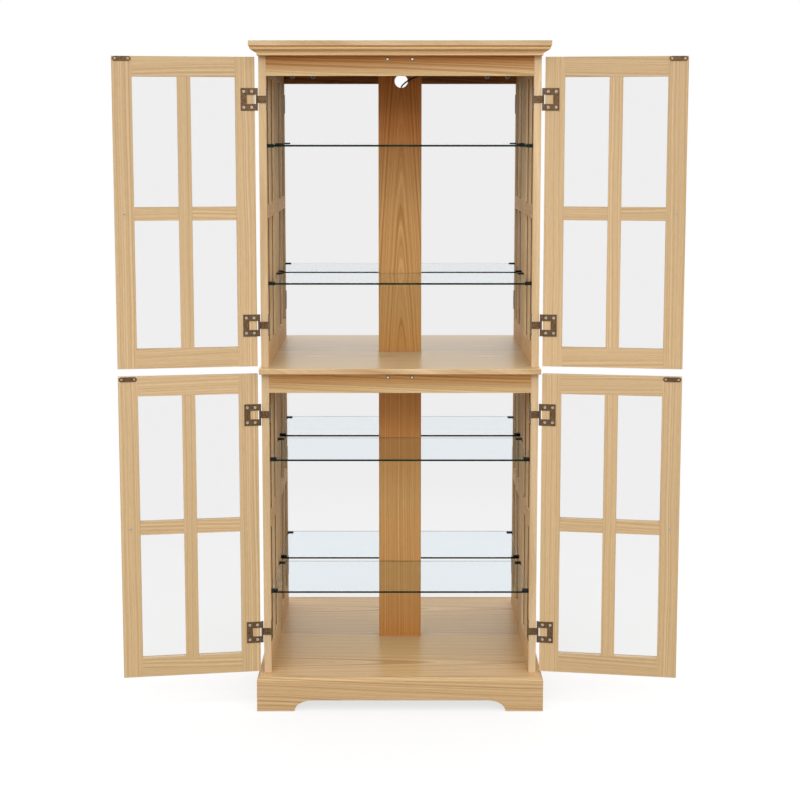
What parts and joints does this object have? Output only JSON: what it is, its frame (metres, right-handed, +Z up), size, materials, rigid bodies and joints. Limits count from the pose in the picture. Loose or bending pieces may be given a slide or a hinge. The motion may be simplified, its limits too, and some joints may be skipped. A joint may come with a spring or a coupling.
{
  "type": "display cabinet",
  "caption": "Tall oak display cabinet in a lower and an upper glazed unit, with hinged glass-panelled doors, glass shelves, a mirrored back, a moulded crown and an arched plinth.",
  "frame": {"origin": "on the floor, in the middle of the box round the cabinet with its doors open as at rest, without the cord and its plug", "axes": "+Z up, +X to the right as seen from the front, front of the cabinet towards -Y"},
  "size_m": [1.5214, 0.4893, 1.83],
  "materials": {
    "oak": "satin oak veneer",
    "back_board": "plain hardboard",
    "pane_glass": "clear",
    "shelf_glass": "clear, polished edge",
    "mirror": "silvered glass",
    "bronze": "antique bronze plate",
    "screw_steel": "zinc plated",
    "magnet_steel": "nickel plated",
    "black_plastic": "moulded",
    "light_housing": "anodised",
    "cord_black": "smooth jacket"
  },
  "bodies": {
    "cabinet": {"crown_top": "oak", "crown_moulding": "oak", "crown_packer": "oak", "mid_board": "oak", "bottom_board": "oak", "plinth_front": "oak", "plinth_returns": "oak", "top_rail_upper": "oak", "top_rail_lower": "oak", "side_frame_upper_left": "oak", "side_frame_upper_right": "oak", "side_frame_lower_left": "oak", "side_frame_lower_right": "oak", "centre_stile_upper": "oak", "centre_stile_lower": "oak", "side_panes": "pane_glass", "mirrors": "mirror", "back_panels": "back_board", "shelf_upper_1": "shelf_glass", "shelf_upper_2": "shelf_glass", "shelf_lower_1": "shelf_glass", "shelf_lower_2": "shelf_glass", "shelf_clips": "black_plastic", "hinge_cabinet_leaves": "bronze", "hinge_pins": "bronze", "hinge_cabinet_screws": "screw_steel", "door_magnets": "magnet_steel", "cam_locks": "screw_steel", "light_bar": "light_housing", "cord_run": "cord_black", "cord_coil": "cord_black", "plug": "cord_black"},
    "door_upper_left": {"door_upper_left_frame": "oak", "door_upper_left_muntins": "oak", "door_upper_left_panes": "pane_glass", "door_upper_left_hinge_leaves": "bronze", "door_upper_left_strike_plate": "bronze", "door_upper_left_knob": "bronze", "door_upper_left_screws": "screw_steel"},
    "door_upper_right": {"door_upper_right_frame": "oak", "door_upper_right_muntins": "oak", "door_upper_right_panes": "pane_glass", "door_upper_right_hinge_leaves": "bronze", "door_upper_right_strike_plate": "bronze", "door_upper_right_knob": "bronze", "door_upper_right_screws": "screw_steel"},
    "door_lower_left": {"door_lower_left_frame": "oak", "door_lower_left_muntins": "oak", "door_lower_left_panes": "pane_glass", "door_lower_left_hinge_leaves": "bronze", "door_lower_left_strike_plate": "bronze", "door_lower_left_knob": "bronze", "door_lower_left_screws": "screw_steel"},
    "door_lower_right": {"door_lower_right_frame": "oak", "door_lower_right_muntins": "oak", "door_lower_right_panes": "pane_glass", "door_lower_right_hinge_leaves": "bronze", "door_lower_right_strike_plate": "bronze", "door_lower_right_knob": "bronze", "door_lower_right_screws": "screw_steel"}
  },
  "joints": [
    {"name": "door_upper_left_hinge", "type": "hinge", "parent": "cabinet", "child": "door_upper_left", "pos_m": [-0.3818, -0.1504, 1.3735], "axis": [0, 0, 1], "range_deg": [-8.5, 171.5]},
    {"name": "door_upper_right_hinge", "type": "hinge", "parent": "cabinet", "child": "door_upper_right", "pos_m": [0.3818, -0.1504, 1.3735], "axis": [0, 0, -1], "range_deg": [-8.5, 171.5]},
    {"name": "door_lower_left_hinge", "type": "hinge", "parent": "cabinet", "child": "door_lower_left", "pos_m": [-0.3818, -0.1504, 0.5185], "axis": [0, 0, 1], "range_deg": [-8.5, 171.5]},
    {"name": "door_lower_right_hinge", "type": "hinge", "parent": "cabinet", "child": "door_lower_right", "pos_m": [0.3818, -0.1504, 0.5185], "axis": [0, 0, -1], "range_deg": [-8.5, 171.5]}
  ]
}
